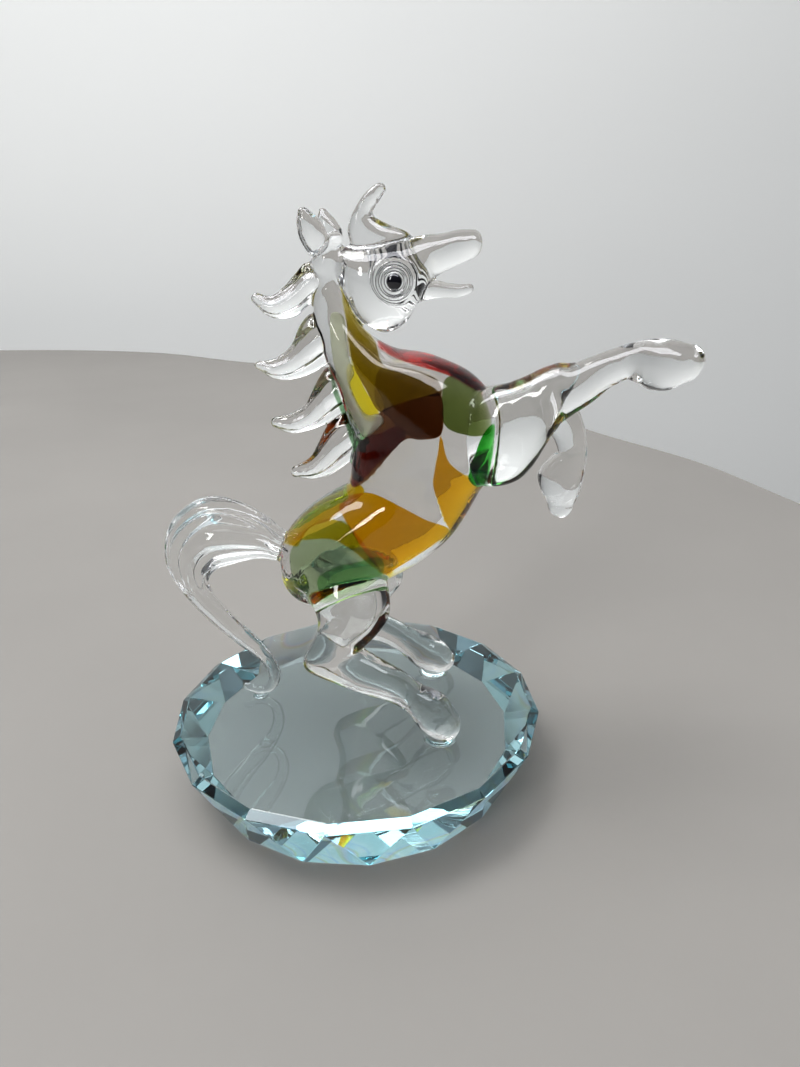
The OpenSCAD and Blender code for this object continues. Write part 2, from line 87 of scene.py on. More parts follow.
MANE = [
    [[-1.4, 65.2, -1.6, 69.0, 0, 1.7], [-3.4, 64.4, -3.6, 69.2, 0, 1.7],
     [-5.4, 63.0, -5.4, 67.7, 0, 1.6], [-7.5, 62.5, -7.1, 66.2, 0, 1.4],
     [-9.4, 62.9, -8.6, 65.3, 0, 1.1], [-11.0, 64.4, -10.1, 65.6, 0, 0.7]],
    [[0.0, 57.2, -1.2, 62.0, 0, 1.9], [-1.8, 56.3, -3.3, 62.4, 0, 1.8],
     [-4.0, 55.0, -5.0, 60.8, 0, 1.7], [-6.8, 54.2, -6.5, 58.5, 0, 1.5],
     [-9.3, 54.3, -8.6, 57.0, 0, 1.1], [-11.1, 55.4, -10.7, 56.6, 0, 0.7]],
    [[2.2, 50.2, 0.8, 55.2, 0, 2.0], [0.0, 49.0, -1.6, 55.0, 0, 1.9],
     [-2.0, 47.9, -3.4, 52.8, 0, 1.7], [-4.6, 46.8, -5.0, 50.3, 0, 1.5],
     [-7.4, 46.3, -7.2, 49.0, 0, 1.1], [-9.5, 47.0, -9.2, 48.6, 0, 0.7]],
    [[4.0, 43.8, 2.6, 49.0, 0, 2.0], [1.7, 42.6, 0.0, 48.6, 0, 1.9],
     [-0.2, 41.2, -1.8, 47.0, 0, 1.8], [-2.4, 39.8, -3.4, 44.4, 0, 1.6],
     [-4.8, 39.2, -4.9, 42.4, 0, 1.2], [-7.0, 39.5, -7.0, 41.2, 0, 0.8]]]
ARM_RIGHT = [
    [17.0, 39.4, 17.4, 51.0, -3.4, 3.4], [21.0, 38.7, 20.4, 52.8, -4.4, 3.9],
    [24.4, 39.6, 23.2, 53.6, -5.0, 4.0], [26.6, 41.8, 25.6, 54.6, -5.4, 3.8],
    [28.4, 45.3, 27.6, 55.6, -5.7, 3.6], [30.2, 48.2, 29.8, 56.3, -6.0, 3.3]]
SHIN_RIGHT = [
    [30.2, 48.2, 29.8, 56.3, -6.0, 3.3], [32.2, 49.6, 31.8, 56.2, -6.2, 2.9],
    [34.2, 51.0, 33.8, 56.9, -6.4, 2.6], [36.4, 52.9, 36.4, 57.9, -6.6, 2.4],
    [38.6, 54.1, 38.9, 58.7, -6.8, 2.2]]
HOOF_FORE_RIGHT = [
    [38.6, 54.1, 38.9, 58.7, -6.8, 2.2], [40.2, 53.5, 40.6, 59.1, -6.9, 2.6],
    [42.0, 52.6, 42.4, 59.3, -7.0, 3.1], [44.2, 52.6, 44.6, 59.1, -7.0, 3.2],
    [46.2, 53.5, 46.6, 58.5, -7.0, 2.7]]
ARM_LEFT = [
    [17.0, 40.0, 17.2, 50.0, 3.6, 3.4], [20.6, 40.8, 20.8, 51.0, 4.6, 3.7],
    [24.6, 42.0, 24.8, 51.4, 5.4, 3.6], [28.2, 43.0, 29.0, 51.2, 5.8, 3.3],
    [30.6, 43.9, 32.6, 49.8, 6.0, 2.9]]
SHIN_LEFT = [
    [30.6, 43.9, 32.6, 49.8, 6.0, 2.9], [31.4, 43.2, 35.2, 47.4, 6.0, 2.7],
    [32.2, 41.8, 36.5, 44.4, 6.0, 2.4], [32.8, 40.3, 37.0, 41.4, 6.0, 2.2]]
HOOF_FORE_LEFT = [
    [32.8, 40.3, 37.0, 41.4, 6.0, 2.2], [31.4, 39.2, 37.2, 39.0, 6.0, 2.6],
    [29.8, 37.0, 37.0, 36.6, 6.0, 3.0], [30.2, 34.4, 36.4, 34.0, 6.0, 2.8],
    [31.4, 31.9, 35.4, 31.7, 6.0, 2.0]]
THIGH_RIGHT = [
    [-7.6, 25.4, 5.0, 29.0, -4.0, 3.4], [-6.2, 22.6, 5.6, 26.0, -5.4, 4.0],
    [-5.0, 20.2, 6.2, 22.6, -6.6, 4.1], [-4.8, 18.0, 5.9, 20.0, -7.4, 3.9],
    [-5.8, 15.8, 4.2, 17.6, -8.2, 3.5], [-7.2, 13.4, 2.0, 15.6, -8.8, 3.0]]
SHANK_RIGHT = [
    [-7.2, 13.4, 2.0, 15.6, -8.8, 3.0], [-6.4, 11.8, 2.4, 15.0, -9.1, 2.7],
    [-2.4, 9.9, 3.8, 14.2, -9.4, 2.5], [2.4, 8.0, 6.2, 12.6, -9.8, 2.4],
    [6.2, 6.6, 9.0, 10.7, -10.1, 2.3], [8.4, 5.2, 11.0, 9.2, -10.4, 2.3]]
HOOF_HIND_RIGHT = [
    [8.4, 5.2, 11.0, 9.2, -10.4, 2.3], [9.6, 3.0, 13.0, 8.2, -10.5, 2.7],
    [11.2, 1.2, 14.8, 6.4, -10.6, 3.0], [13.0, 0.4, 16.0, 4.2, -10.6, 2.6]]
THIGH_LEFT = [
    [-6.6, 24.0, 6.0, 29.0, 4.0, 3.4], [-5.2, 20.8, 7.6, 25.2, 5.4, 4.0],
    [-4.4, 18.0, 8.2, 21.2, 6.6, 4.0], [-4.4, 15.4, 7.9, 18.2, 7.4, 3.6],
    [-5.2, 12.6, 5.6, 15.0, 8.0, 3.1]]
SHANK_LEFT = [
    [-5.2, 12.6, 5.6, 15.0, 8.0, 3.1], [-4.2, 9.8, 4.2, 13.2, 8.2, 2.7],
    [-0.6, 8.0, 4.8, 11.8, 8.3, 2.4], [3.2, 7.0, 7.0, 10.4, 8.4, 2.2],
    [6.6, 5.2, 9.6, 8.6, 8.5, 2.2]]
HOOF_HIND_LEFT = [
    [6.6, 5.2, 9.6, 8.6, 8.5, 2.2], [8.4, 3.2, 12.6, 7.2, 8.6, 2.5],
    [10.6, 1.2, 15.2, 5.6, 8.6, 2.8], [13.0, 0.5, 16.4, 3.6, 8.6, 2.4]]
PLUME = [
    [-7.6, 26.0, -7.2, 29.8, 0.6, 2.4], [-10.8, 26.1, -10.2, 30.6, 0.8, 2.7],
    [-13.2, 26.4, -12.4, 32.8, 1.0, 2.9], [-16.2, 26.0, -15.0, 34.6, 1.0, 3.0],
    [-18.8, 25.4, -18.4, 35.9, 1.0, 3.0], [-20.6, 24.9, -21.8, 35.8, 1.0, 2.9],
    [-21.8, 24.0, -25.2, 33.8, 1.0, 2.8], [-22.4, 23.2, -27.4, 31.0, 1.0, 2.7],
    [-22.6, 22.4, -28.2, 27.8, 1.0, 2.5], [-22.5, 21.6, -28.0, 24.4, 1.0, 2.3],
    [-22.2, 20.6, -26.8, 21.2, 1.0, 2.0]]
WHIP = [
    [-22.2, 20.6, -26.8, 21.2, 1.0, 2.0], [-21.3, 18.8, -24.8, 18.0, 1.1, 1.7],
    [-18.8, 15.3, -21.8, 14.0, 1.3, 1.5], [-15.9, 11.5, -18.6, 10.6, 1.6, 1.3],
    [-13.7, 8.2, -16.0, 7.6, 2.0, 1.1], [-12.8, 5.2, -14.8, 5.2, 2.3, 0.95],
    [-13.2, 2.4, -14.6, 3.4, 2.5, 0.8], [-14.8, 0.7, -15.4, 1.9, 2.6, 0.7],
    [-17.0, 0.5, -17.0, 1.7, 2.7, 0.65], [-18.9, 1.3, -18.2, 2.4, 2.7, 0.6]]

# Clear pieces: node, stations, end depths, flutes (count, depth).
CLEAR = [
    ("body_casing", BODY, 1.6, 1.6, 0, 0),
    ("head", HEAD, 0, 1.5, 0, 0),
    ("lower_jaw", JAW, 0, 0.8, 0, 0),
    ("forelock", FORELOCK, 0, 0.9, 3, 0.08),
    ("ear_right", EAR_RIGHT, 0, 0.6, 0, 0),
    ("ear_left", EAR_LEFT, 0, 0.6, 0, 0),
    ("mane_lock_1", MANE[0], 0, 0.9, 4, 0.14),
    ("mane_lock_2", MANE[1], 0, 0.9, 4, 0.14),
    ("mane_lock_3", MANE[2], 0, 0.9, 4, 0.14),
    ("mane_lock_4", MANE[3], 0, 0.9, 4, 0.14),
    ("foreleg_upper_right", ARM_RIGHT, 0, 0, 0, 0),
    ("foreleg_lower_right", SHIN_RIGHT, 0, 0, 0, 0),
    ("hoof_fore_right", HOOF_FORE_RIGHT, 0, 2.2, 0, 0),
    ("foreleg_upper_left", ARM_LEFT, 0, 0, 0, 0),
    ("foreleg_lower_left", SHIN_LEFT, 0, 0, 0, 0),
    ("hoof_fore_left", HOOF_FORE_LEFT, 0, 2.2, 0, 0),
    ("hind_thigh_right", THIGH_RIGHT, 0, 0, 0, 0),
    ("hind_shank_right", SHANK_RIGHT, 0, 0, 0, 0),
    ("hoof_hind_right", HOOF_HIND_RIGHT, 0, 1.8, 0, 0),
    ("hind_thigh_left", THIGH_LEFT, 0, 0, 0, 0),
    ("hind_shank_left", SHANK_LEFT, 0, 0, 0, 0),
    ("hoof_hind_left", HOOF_HIND_LEFT, 0, 1.8, 0, 0),
    ("tail_plume", PLUME, 0, 0, 8, 0.11),
    ("tail_whip", WHIP, 0, 0.9, 4, 0.10)]

# Coloured glass inside the body: an outline (x, z) as it looks from the camera's side, or
# the stations of a thread.
OLIVE_NECK = [(0.8, 66.6), (2.9, 62.1), (5.2, 58.8), (6.6, 55.4), (12.8, 53.8),
              (14.3, 52.4), (14.2, 51.0), (12.0, 50.9), (8.2, 50.0), (5.6, 48.9),
              (3.7, 52.1), (2.0, 56.1), (1.3, 61.9)]
PALE_BAND = [(-0.8, 62.5), (0.7, 62.5), (1.2, 59.8), (1.5, 56.8), (2.1, 54.5), (1.5, 52.7),
             (3.4, 48.7), (5.4, 48.6), (6.0, 47.3), (3.3, 45.2), (2.2, 46.9), (0.6, 50.6),
             (-0.2, 53.8), (-0.8, 57.3)]
YELLOW_BAND = [(1.2, 55.7), (2.2, 55.2), (3.6, 52.1), (5.4, 48.8), (4.9, 47.8),
               (3.4, 47.8), (2.0, 50.6), (1.2, 53.2)]
NECK_LINE = [
    [-1.2, 54.9, -0.8, 55.0, -1, 0.5], [-0.8, 51.9, -0.1, 52.2, -1, 0.8],
    [0.4, 48.1, 1.1, 48.4, -1, 1.0], [1.3, 44.6, 2.4, 44.9, -1, 1.0],
    [1.8, 42.9, 2.7, 43.2, -1, 0.8]]
STREAK = [(-8.6, 29.5), (-5.7, 31.5), (-2.9, 32.6), (0.1, 31.5), (2.6, 28.1), (4.9, 23.7),
          (3.4, 24.6), (0.5, 27.4), (-2.5, 29.3), (-5.8, 29.4)]
LEAF_HAUNCH = [(-5.2, 22.4), (-2.5, 24.5), (0.9, 25.3), (4.5, 26.1), (5.2, 23.9),
               (2.3, 21.7), (-1.6, 21.0), (-4.2, 19.3)]
SMOKE = [(5.6, 54.9), (8.7, 55.2), (11.8, 54.4), (14.2, 52.6), (14.3, 48.7), (14.2, 45.4),
         (11.6, 44.9), (9.1, 45.6), (7.0, 47.8), (5.0, 50.5)]
RUBY_TIP = [(1.0, 38.0), (1.7, 43.1), (3.3, 45.2), (5.3, 45.7), (8.0, 46.7), (9.1, 45.2),
            (6.8, 42.8), (4.6, 40.8), (2.4, 38.6)]
RIM = [(-10.6, 27.8), (-10.3, 24.7), (-9.1, 21.5), (-6.9, 19.4), (-5.8, 20.2),
       (-7.4, 22.0), (-8.6, 24.6), (-9.2, 27.7), (-9.4, 29.8), (-10.0, 30.2)]
RUBY_BAND = [
    [5.6, 56.9, 6.2, 58.3, 0, 1.6], [8.4, 55.3, 9.0, 57.2, 0, 2.8],
    [11.6, 54.5, 12.2, 56.6, 0, 3.2], [14.7, 53.6, 15.6, 55.4, 0, 3.2],
    [17.7, 51.9, 18.9, 53.4, 0, 2.9], [20.2, 49.9, 21.3, 51.2, 0, 2.2]]
RUBY_DIAG = [(5.4, 48.7), (8.2, 50.0), (12.0, 50.9), (14.3, 51.0), (14.4, 45.5),
             (11.5, 44.6), (9.2, 44.8), (7.1, 42.9), (5.0, 40.6), (1.3, 37.5),
             (0.8, 40.3), (1.9, 43.3), (3.5, 45.4)]
OLIVE_SHOULDER = [(14.6, 52.4), (15.9, 53.8), (18.2, 53.5), (20.5, 51.6), (22.4, 48.4),
                  (22.2, 46.6), (21.1, 45.2), (18.4, 45.0), (14.8, 46.8)]
DEEP_GREEN = [(21.1, 46.1), (22.3, 46.8), (23.3, 45.2), (22.9, 41.9), (21.9, 38.0),
              (21.5, 36.5), (19.4, 37.1), (18.3, 38.7), (19.1, 41.4), (20.0, 44.2)]
AMBER_FRONT = [(14.3, 45.1), (15.4, 41.1), (18.6, 38.2), (20.1, 36.3), (17.7, 32.4),
               (15.7, 30.3), (13.8, 35.2), (13.1, 37.8), (13.8, 42.2)]
AMBER_BELLY = [(3.0, 36.8), (8.1, 34.3), (11.8, 32.1), (15.4, 30.3), (12.5, 27.6),
               (7.3, 24.2), (5.1, 23.4), (1.8, 28.2), (-0.3, 32.4), (-0.9, 34.9)]
YELLOW_RUMP = [(-9.7, 30.4), (-7.3, 34.2), (-2.3, 37.1), (1.0, 38.6), (2.7, 36.8),
               (-0.2, 34.3), (-2.6, 32.5), (-5.7, 31.3), (-8.0, 28.5)]
GREEN_HAUNCH = [(-7.4, 29.3), (-4.2, 30.9), (-0.3, 32.1), (2.0, 27.7), (5.0, 23.2),
                (1.4, 20.2), (-2.6, 18.6), (-5.7, 19.0), (-8.7, 22.3), (-9.1, 26.9)]

# ---------------------------------------------------------------- mesh making


def blend(a, b, c, d, t):
    """The point a share t of the way from b to c, on a smooth curve through all four."""
    return b + 0.5 * t * ((c - a) + t * ((2 * a - 5 * b + 4 * c - d)
                                         + t * (3 * b - 3 * c + d - a)))


def dense(s, n, closed=False):
    """A smooth curve through the rows of s, with n steps between them."""
    s = np.array(s, float)
    m = len(s)
    out = []
    for i in range(m if closed else m - 1):
        if closed:
            q = s[(i - 1) % m], s[i], s[(i + 1) % m], s[(i + 2) % m]
        else:
            q = s[max(i - 1, 0)], s[i], s[i + 1], s[min(i + 2, m - 1)]
        out += [blend(*q, k / n) for k in range(n)]
    if not closed:
        out.append(s[-1])
    return np.array(out)


def shrunk(stations, k):
    """Stations whose sections are k times as large about the same middles."""
    out = []
    for b in stations:
        cx, cz = (b[0] + b[2]) / 2, (b[1] + b[3]) / 2
        hx, hz = k * (b[2] - b[0]) / 2, k * (b[3] - b[1]) / 2
        out.append([cx - hx, cz - hz, cx + hx, cz + hz, b[4], b[5] * k])
    return out


def loft(stations, sides=48, steps=8, q0=0, q1=0, flutes=0, depth=0):
    """Rounded loft through stations: (vertices, faces), in millimetres.

    The faces all look inward; remeshed() turns them outward.
    """
    d = dense(stations, steps)
    centre = np.stack([(d[:, 0] + d[:, 2]) / 2, d[:, 4], (d[:, 1] + d[:, 3]) / 2], 1)
    half = np.stack([(d[:, 2] - d[:, 0]) / 2, 0 * d[:, 0], (d[:, 3] - d[:, 1]) / 2], 1)
    rows = [(centre[i], half[i], d[i, 5], i) for i in range(len(d))]

    def dome(i, j, q):
        u = centre[i] - centre[j]
        u = u / np.linalg.norm(u)
        return [(centre[i] + u * q * math.sin(a), half[i] * math.cos(a),
                 d[i, 5] * math.cos(a), i) for a in np.radians([15, 30, 45, 58, 70, 80, 87])]

    if q0:
        rows = dome(0, 1, q0)[::-1] + rows
    if q1:
        rows = rows + dome(-1, -2, q1)
    th = np.arange(sides) * 2 * math.pi / sides
    verts = []
    for c, h, w, i in rows:
        f = 1 + depth * np.cos(flutes * th + 0.02 * i) if flutes else np.ones(sides)
        verts.append(c + np.outer(np.cos(th) * f, h)
                     + np.outer(np.sin(th) * f, [0, w, 0]))
    verts = np.concatenate(verts)
    w = len(rows)
    faces = []
    for i in range(w - 1):
        for j in range(sides):
            k = (j + 1) % sides
            faces.append((i * sides + j, (i + 1) * sides + j,
                          (i + 1) * sides + k, i * sides + k))
    faces.append(tuple(range(sides)))
    faces.append(tuple((w - 1) * sides + j for j in range(sides - 1, -1, -1)))
    go = centre[1] - centre[0]
    if half[0][0] * go[2] - half[0][2] * go[0] < 0:
        faces = [f[::-1] for f in faces]
    return verts, faces


def raw_mesh(name, verts, faces):
    """A new mesh from vertices and faces, in the units given."""
    me = bpy.data.meshes.new(name)
    me.from_pydata([tuple(v) for v in verts], [], [tuple(f) for f in faces])
    me.update()
    return me


def evaluated(ob):
    """The object's mesh with its modifiers: (vertices, faces as lists)."""
    dg = bpy.context.evaluated_depsgraph_get()
    dg.update()
    ev = ob.evaluated_get(dg)
    me = ev.to_mesh()
    v = np.empty(len(me.vertices) * 3)
    me.vertices.foreach_get("co", v)
    faces = [tuple(p.vertices) for p in me.polygons]
    ev.to_mesh_clear()
    return v.reshape(-1, 3), faces


def remeshed(verts, faces, voxel):
    """The outer skin of overlapping closed shapes, as one closed mesh of even quads."""
    me = raw_mesh("melt", verts, faces)
    ob = bpy.data.objects.new("melt", me)
    bpy.context.collection.objects.link(ob)
    m = ob.modifiers.new("r", "REMESH")
    m.mode = "VOXEL"
    m.voxel_size = voxel
    v, f = evaluated(ob)
    bpy.data.objects.remove(ob)
    bpy.data.meshes.remove(me)
    return v, f


def edge_pairs(faces):
    """Each face's edges as (from, to) pairs: all first edges, then all second ones."""
    q = np.array(faces)
    return np.concatenate([np.stack([q[:, i], q[:, (i + 1) % q.shape[1]]], 1)
                           for i in range(q.shape[1])])


def smoothed(v, faces, rounds, lam=0.5, mu=-0.52):
    """Taubin smoothing, which keeps thin parts from shrinking."""
    e = edge_pairs(faces)
    n = len(v)
    deg = np.bincount(e[:, 0], minlength=n)[:, None].astype(float)
    for r in range(rounds):
        for k in (lam, mu):
            s = np.stack([np.bincount(e[:, 0], weights=v[e[:, 1], a], minlength=n)
                          for a in range(3)], 1) / np.maximum(deg, 1)
            v = v + k * (s - v)
    return v


def vertex_normals(v, faces):
    """Unit normals at the vertices of a mesh of quads."""
    q = np.array(faces)
    a = v[q[:, 2]] - v[q[:, 0]]
    b = v[q[:, 3]] - v[q[:, 1]]
    fn = np.cross(a, b)
    n = np.zeros_like(v)
    for i in range(4):
        for ax in range(3):
            n[:, ax] += np.bincount(q[:, i], weights=fn[:, ax], minlength=len(v))
    return n / np.maximum(np.linalg.norm(n, axis=1), 1e-12)[:, None]


# ---------------------------------------------------------------- materials


def new_material(name):
    """An empty node material: (material, nodes, links)."""
    m = bpy.data.materials.new(name)
    m.use_nodes = True
    m.node_tree.nodes.clear()
    return m, m.node_tree.nodes, m.node_tree.links


def add(nodes, kind, **values):
    """A new node with the given properties."""
    n = nodes.new(kind)
    for k, v in values.items():
        setattr(n, k, v)
    return n


CLEAR_TINT = (0.985, 0.992, 0.99)


def clear_glass(name, ior, tint, wave, scale):
    """Clear glass with a fine surface ripple and a faint cloudiness in its tint."""
    m, nodes, links = new_material(name)
    out = add(nodes, "ShaderNodeOutputMaterial")
    p = add(nodes, "ShaderNodeBsdfPrincipled")
    p.inputs["Roughness"].default_value = 0.0
    p.inputs["IOR"].default_value = ior
    p.inputs["Transmission Weight"].default_value = 1.0
    links.new(p.outputs[0], out.inputs["Surface"])
    co = add(nodes, "ShaderNodeTexCoord")
    no = add(nodes, "ShaderNodeTexNoise")
    no.inputs["Scale"].default_value = scale
    no.inputs["Detail"].default_value = 2.0
    links.new(co.outputs["Object"], no.inputs["Vector"])
    bump = add(nodes, "ShaderNodeBump")
    bump.inputs["Strength"].default_value = wave
    bump.inputs["Distance"].default_value = 0.0004
    links.new(no.outputs["Fac"], bump.inputs["Height"])
    links.new(bump.outputs[0], p.inputs["Normal"])
    ramp = add(nodes, "ShaderNodeValToRGB")
    ramp.color_ramp.elements[0].position = 0.3
    ramp.color_ramp.elements[0].color = (*[c * 0.985 for c in tint], 1)
    ramp.color_ramp.elements[1].position = 0.7
    ramp.color_ramp.elements[1].color = (*tint, 1)
    links.new(no.outputs["Fac"], ramp.inputs["Fac"])
    links.new(ramp.outputs[0], p.inputs["Base Color"])
    return m


def cut_crystal():
    """Cut crystal: faintly teal in its depth; its side facets carry a teal tint and painted
    dispersion fire, rainbow spots painted into their colour.
    """
    m, nodes, links = new_material("cut_crystal")
    out = add(nodes, "ShaderNodeOutputMaterial")
    p = add(nodes, "ShaderNodeBsdfPrincipled")
    p.inputs["Roughness"].default_value = 0.0
    p.inputs["IOR"].default_value = 1.55
    p.inputs["Transmission Weight"].default_value = 1.0
    links.new(p.outputs[0], out.inputs["Surface"])
    co = add(nodes, "ShaderNodeTexCoord")
    no = add(nodes, "ShaderNodeTexNoise")
    no.inputs["Scale"].default_value = 85
    no.inputs["Detail"].default_value = 0.0
    no.inputs["Distortion"].default_value = 0.3
    links.new(co.outputs["Object"], no.inputs["Vector"])
    ramp = add(nodes, "ShaderNodeValToRGB")
    # teal tint, broken by narrow white, blue, yellow, orange and pink stops that are painted
    # dispersion fire
    tint_and_painted_fire = [(0.00, (0.64, 0.85, 0.89)), (0.34, (0.74, 0.90, 0.94)),
             (0.38, (0.98, 1.00, 1.00)), (0.405, (0.55, 0.70, 1.00)),
             (0.43, (0.98, 0.99, 1.00)), (0.50, (0.98, 1.00, 1.00)),
             (0.52, (1.00, 0.92, 0.45)), (0.54, (1.00, 0.66, 0.45)),
             (0.555, (0.95, 0.70, 0.90)), (0.575, (0.55, 0.75, 1.00)),
             (0.60, (0.90, 0.98, 1.00)), (0.66, (0.72, 0.89, 0.93)),
             (1.00, (0.64, 0.84, 0.88))]
    el = ramp.color_ramp.elements
    el[0].position, el[0].color = tint_and_painted_fire[0][0], (*tint_and_painted_fire[0][1], 1)
    el[1].position, el[1].color = tint_and_painted_fire[-1][0], (*tint_and_painted_fire[-1][1], 1)
    for spot, c in tint_and_painted_fire[1:-1]:
        el.new(spot).color = (*c, 1)
    links.new(no.outputs["Fac"], ramp.inputs["Fac"])
    # the side facets, told by their normal, take the teal tint and the painted dispersion
    # fire; the top and the foot stay near white
    sep = add(nodes, "ShaderNodeSeparateXYZ")
    links.new(co.outputs["Normal"], sep.inputs[0])
    side = add(nodes, "ShaderNodeMapRange")
    side.inputs["From Min"].default_value = 0.35
    side.inputs["From Max"].default_value = 0.85
    side.inputs["To Min"].default_value = 1.0
    side.inputs["To Max"].default_value = 0.0
    ab = add(nodes, "ShaderNodeMath", operation="ABSOLUTE")
    links.new(sep.outputs["Z"], ab.inputs[0])
    links.new(ab.outputs[0], side.inputs["Value"])
    mix = add(nodes, "ShaderNodeMix", data_type="RGBA")
    mix.inputs[6].default_value = (0.985, 0.995, 1.0, 1)
    links.new(side.outputs[0], mix.inputs[0])
    links.new(ramp.outputs[0], mix.inputs[7])
    links.new(mix.outputs[2], p.inputs["Base Color"])
    vol = add(nodes, "ShaderNodeVolumeAbsorption")
    k = [-math.log(c) / 0.030 for c in (0.72, 0.90, 0.93)]
    vol.inputs["Color"].default_value = (*[1 - c / max(k) for c in k], 1)
    vol.inputs["Density"].default_value = max(k)
    links.new(vol.outputs[0], out.inputs["Volume"])
    return m


def ringed_glass(name, centre):
    """Clear glass wound round an eye: its surface carries concentric rings."""
    ring_pitch, ring_height = 0.00074, 0.00007
    m = clear_glass(name, GLASS_INDEX, CLEAR_TINT, 0.1, 160)
    nodes, links = m.node_tree.nodes, m.node_tree.links
    co = add(nodes, "ShaderNodeTexCoord")
    sub = add(nodes, "ShaderNodeVectorMath", operation="SUBTRACT")
    sub.inputs[1].default_value = centre
    links.new(co.outputs["Object"], sub.inputs[0])
    flat = add(nodes, "ShaderNodeVectorMath", operation="MULTIPLY")
    flat.inputs[1].default_value = (1, 0, 1)
    links.new(sub.outputs[0], flat.inputs[0])
    far = add(nodes, "ShaderNodeVectorMath", operation="LENGTH")
    links.new(flat.outputs[0], far.inputs[0])
    turns = add(nodes, "ShaderNodeMath", operation="MULTIPLY")
    turns.inputs[1].default_value = 2 * math.pi / ring_pitch
    links.new(far.outputs["Value"], turns.inputs[0])
    wave = add(nodes, "ShaderNodeMath", operation="SINE")
    links.new(turns.outputs[0], wave.inputs[0])
    bump = add(nodes, "ShaderNodeBump")
    bump.inputs["Strength"].default_value = 1.0
    bump.inputs["Distance"].default_value = ring_height
    links.new(wave.outputs[0], bump.inputs["Height"])
    p = [n for n in nodes if n.type == "BSDF_PRINCIPLED"][0]
    links.new(bump.outputs[0], p.inputs["Normal"])
    return m


def core_glass(name, colour, density):
    """Coloured glass sealed in clear glass of the same index: it only takes light out."""
    m, nodes, links = new_material(name)
    out = add(nodes, "ShaderNodeOutputMaterial")
    p = add(nodes, "ShaderNodeBsdfPrincipled")
    p.inputs["Base Color"].default_value = (1, 1, 1, 1)
    p.inputs["Roughness"].default_value = 0.0
    p.inputs["IOR"].default_value = SAME_INDEX
    p.inputs["Transmission Weight"].default_value = 1.0
    links.new(p.outputs[0], out.inputs["Surface"])
    vol = add(nodes, "ShaderNodeVolumeAbsorption")
    vol.inputs["Color"].default_value = (*colour, 1)
    vol.inputs["Density"].default_value = density
    links.new(vol.outputs[0], out.inputs["Volume"])
    return m


GLASS = clear_glass("clear_glass", GLASS_INDEX, CLEAR_TINT, 0.25, 160)
EYE = {"eye_bead_" + w: ringed_glass("ringed_glass_" + w,
                                     (EYE_X * MM, 0, (EYE_Z + BASE_H) * MM))
       for w in ("right", "left")}
CRYSTAL = cut_crystal()
BOND = clear_glass("clear_bond", 1.48, (0.97, 0.98, 0.98), 0.3, 400)

joint, jn, jl = new_material("fused_joint")
jo = add(jn, "ShaderNodeOutputMaterial")
jt = add(jn, "ShaderNodeBsdfTransparent")
jl.new(jt.outputs[0], jo.inputs["Surface"])

black, bn, bl = new_material("black_glass")
bo = add(bn, "ShaderNodeOutputMaterial")
bp = add(bn, "ShaderNodeBsdfPrincipled")
bp.inputs["Roughness"].default_value = 0.06
bp.inputs["Coat Weight"].default_value = 1.0
b_noise = add(bn, "ShaderNodeTexNoise")
b_noise.inputs["Scale"].default_value = 900
b_ramp = add(bn, "ShaderNodeValToRGB")
b_ramp.color_ramp.elements[0].color = (0.004, 0.004, 0.006, 1)
b_ramp.color_ramp.elements[1].color = (0.02, 0.02, 0.03, 1)
bl.new(b_noise.outputs["Fac"], b_ramp.inputs["Fac"])
bl.new(b_ramp.outputs[0], bp.inputs["Base Color"])
bl.new(bp.outputs[0], bo.inputs["Surface"])


def piece(name, verts, faces, material, nodes=(), smooth=True):
    """One visible piece on the rigid body, standing for the CAD nodes named."""
    me = raw_mesh(name, np.asarray(verts) * MM, faces)
    ob = bpy.data.objects.new(name, me)
    bpy.context.collection.objects.link(ob)
    me.materials.append(material)
    if smooth:
        me.shade_smooth()
    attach(ob, "root")
    if nodes:
        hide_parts(*nodes)
    return ob


# ---------------------------------------------------------------- the clear horse
# All the clear glass is melted together, then divided into its named pieces again.
# Each piece is closed by an invisible cap where it is fused to its neighbour.

parts, all_v, all_f = [], [], []


def melt_in(node, v, f, reach):
    """Adds a shape to the melt, and remembers which glass within reach is its own."""
    parts.append((node, BVHTree.FromPolygons([Vector(x) for x in v], f),
                  v.min(0) - reach, v.max(0) + reach))
    first = sum(map(len, all_v))
    all_v.append(v)
    all_f.extend(tuple(i + first for i in g) for g in f)


def ripple(v):
    """Unevenness of hand-drawn glass, in millimetres: slow swells, livelier at the feet."""
    x, y, z = v[:, 0], v[:, 1], v[:, 2] - BASE_H
    slow = (np.sin(0.45 * x + 0.9 * np.sin(0.3 * z)) * np.sin(0.5 * z + 0.3 * y)
            + np.sin(0.7 * z - 0.3 * x + 0.5 * y))
    fast = np.sin(1.5 * x + 1.2 * np.sin(0.9 * z + y)) * np.sin(1.3 * z - 1.1 * y + 0.5 * x)
    foot = 1 / (1 + np.exp((z - 9) / 1.5)) + 1 / (1 + np.exp(38 - x))
    return 0.05 * slow + 0.05 * np.minimum(foot, 1) * fast


for node, stations, q0, q1, flutes, depth in CLEAR:
    v, f = loft(stations, 56, 8, q0, q1, flutes, depth)
    melt_in(node, v + [0, 0, BASE_H], f, 1.2)
for side, word in ((-1, "right"), (1, "left")):
    ball = bmesh.new()
    bmesh.ops.create_uvsphere(ball, u_segments=48, v_segments=32, radius=2.9)
    v = np.array([q.co for q in ball.verts]) * [1, 0.42, 1]
    f = [tuple(q.index for q in g.verts) for g in ball.faces]
    ball.free()
    melt_in("eye_bead_" + word, v + [EYE_X, side * 4.35, EYE_Z + BASE_H], f, 0.6)

